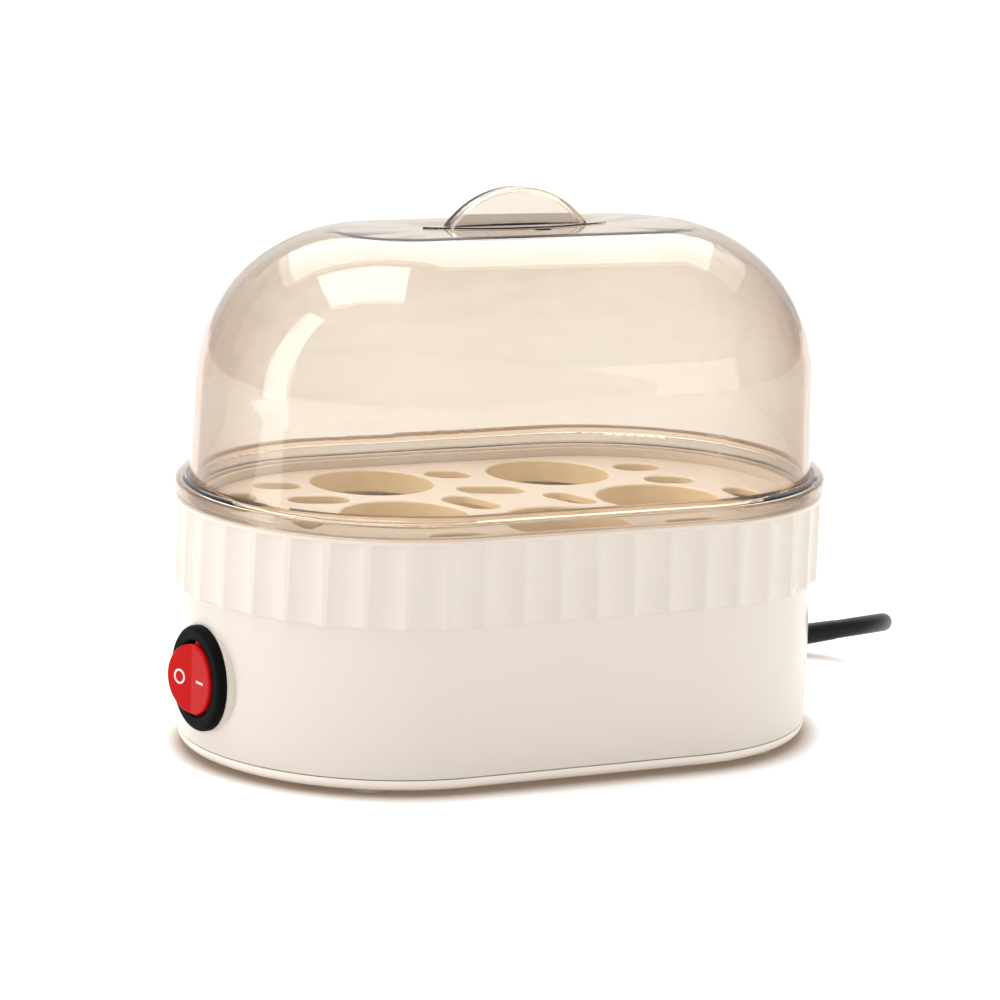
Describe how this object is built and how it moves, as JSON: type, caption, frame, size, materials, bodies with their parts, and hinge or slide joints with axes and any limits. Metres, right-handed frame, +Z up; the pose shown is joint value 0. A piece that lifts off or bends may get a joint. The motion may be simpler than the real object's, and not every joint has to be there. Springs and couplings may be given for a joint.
{
  "type": "electric egg cooker",
  "caption": "Oval countertop egg steamer with a clear domed lid, lift-out egg tray, heated water pan, round rocker switch, and a mains cord with plug.",
  "frame": {"origin": "centre of the appliance's outline on the table under its feet, without the free cord", "axes": "+X along the long axis towards the mains cord (the switch is at -X), -Y is the front, +Z is up"},
  "size_m": [0.2311, 0.1893, 0.1477],
  "materials": {
    "ivory_plastic": "glossy moulded plastic, warm ivory",
    "tray_plastic": "glossy moulded plastic, warm ivory",
    "lid_clear": "clear moulded plastic, pale amber tint",
    "handle_clear": "clear moulded plastic, pale amber tint",
    "bezel_black": "glossy black plastic",
    "rocker_red": "translucent red plastic",
    "mark_white": "printed pale mark",
    "foot_rubber": "soft pale rubber",
    "seal_rubber": "silicone seal",
    "cord_black": "black cord jacket, satin",
    "plug_black": "black moulded plug, satin",
    "pan_steel": "drawn stainless steel",
    "heater_aluminium": "bare cast aluminium",
    "element_steel": "steel heater tube",
    "zinc_steel": "zinc plated steel",
    "tinned_brass": "brass contact parts",
    "plug_metal": "nickel plated pins",
    "clamp_plastic": "natural nylon",
    "control_plastic": "dark phenolic",
    "lamp_glass": "small glow lamp",
    "sleeve_plastic": "insulating sleeve",
    "wire_brown": "brown wire insulation",
    "wire_blue": "blue wire insulation",
    "wire_white": "white heat resistant wire insulation"
  },
  "bodies": {
    "base": {"base_housing": "ivory_plastic", "bottom_cover": "ivory_plastic", "cover_screws": "zinc_steel", "foot_front_left": "foot_rubber", "foot_front_right": "foot_rubber", "foot_rear_left": "foot_rubber", "foot_rear_right": "foot_rubber", "pan_gasket": "seal_rubber", "heating_pan": "pan_steel", "heat_spreader": "heater_aluminium", "heating_element": "element_steel", "element_terminals": "tinned_brass", "element_clamp": "zinc_steel", "spreader_studs": "zinc_steel", "stud_nuts": "zinc_steel", "pan_tie": "zinc_steel", "tie_fasteners": "zinc_steel", "thermostat": "control_plastic", "thermostat_screws": "zinc_steel", "thermal_fuse": "clamp_plastic", "fuse_clip": "zinc_steel", "switch_housing": "bezel_black", "contact_lever": "tinned_brass", "indicator_lamp": "lamp_glass", "switch_terminals": "tinned_brass", "crimp_sleeves": "sleeve_plastic", "wire_live": "wire_brown", "wire_switched": "wire_brown", "wire_link": "wire_white", "wire_element": "wire_white", "wire_neutral": "wire_blue", "cord_lead": "cord_black", "cord_clamp": "clamp_plastic", "clamp_screws": "zinc_steel", "cord_bushing": "cord_black", "cord_sleeve": "cord_black", "power_cord": "cord_black", "cord_coil": "cord_black", "cord_tail": "cord_black", "plug_relief": "cord_black", "plug_body": "plug_black", "plug_pins": "plug_metal"},
    "tray": {"tray_rim": "tray_plastic", "egg_tray": "tray_plastic", "egg_seats": "tray_plastic"},
    "lid": {"lid_shell": "lid_clear", "lid_handle": "handle_clear"},
    "rocker": {"rocker": "rocker_red", "rocker_marks": "mark_white", "contact_plunger": "clamp_plastic"}
  },
  "joints": [
    {"name": "tray_lift", "type": "slide", "parent": "base", "child": "tray", "axis": [0, 0, 1], "range_m": [0, 0.06]},
    {"name": "lid_lift", "type": "slide", "parent": "tray", "child": "lid", "axis": [0, 0, 1], "range_m": [0, 0.1]},
    {"name": "rocker_tilt", "type": "hinge", "parent": "base", "child": "rocker", "pos_m": [-0.08789, -0.00471, 0.023], "axis": [0, 0, 1], "range_deg": [-18, 0]}
  ]
}
